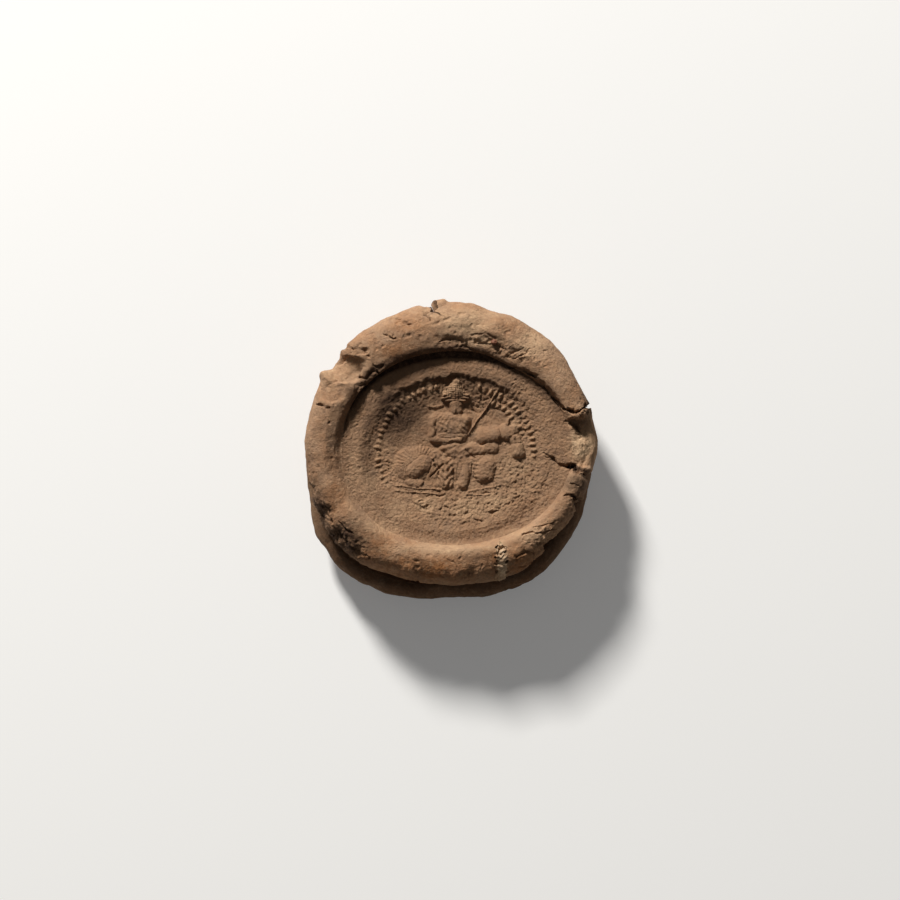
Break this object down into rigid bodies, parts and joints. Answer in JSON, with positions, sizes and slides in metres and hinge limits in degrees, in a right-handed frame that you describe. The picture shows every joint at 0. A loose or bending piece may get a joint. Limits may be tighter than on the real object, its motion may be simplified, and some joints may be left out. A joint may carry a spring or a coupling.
{
  "type": "clay bulla",
  "caption": "Round cracked clay bulla with a raised rim, an oval seal mark of a rider in low relief, a flat resting back and two cord holes between its pads.",
  "frame": {"origin": "on the flat resting face of the back, below the middle of the seal mark", "axes": "+Z out of the sealed face, +Y to the top of the picture, +X to its right as seen"},
  "size_m": [0.0482, 0.0492, 0.0142],
  "materials": {
    "back_clay": "dull, dark, earthy unglazed clay",
    "face_clay": "matt smooth unglazed clay",
    "rim_clay": "matt, finger-smoothed unglazed clay, cracked and pitted",
    "red_grain": "dull red grit",
    "crumbled_clay": "pale, crumbly dried clay",
    "pale_grain": "dull yellowish grit"
  },
  "bodies": {
    "root": {"back_pad": "back_clay", "seal_face": "face_clay", "rim_upper_right": "rim_clay", "rim_upper_left": "rim_clay", "rim_left": "rim_clay", "rim_bottom": "rim_clay", "rim_lower_right": "rim_clay", "right_chip": "rim_clay", "right_tongue": "rim_clay", "lip_flake": "rim_clay", "lip_grain": "red_grain", "crack_filling": "crumbled_clay", "crack_grain": "pale_grain"}
  },
  "joints": []
}
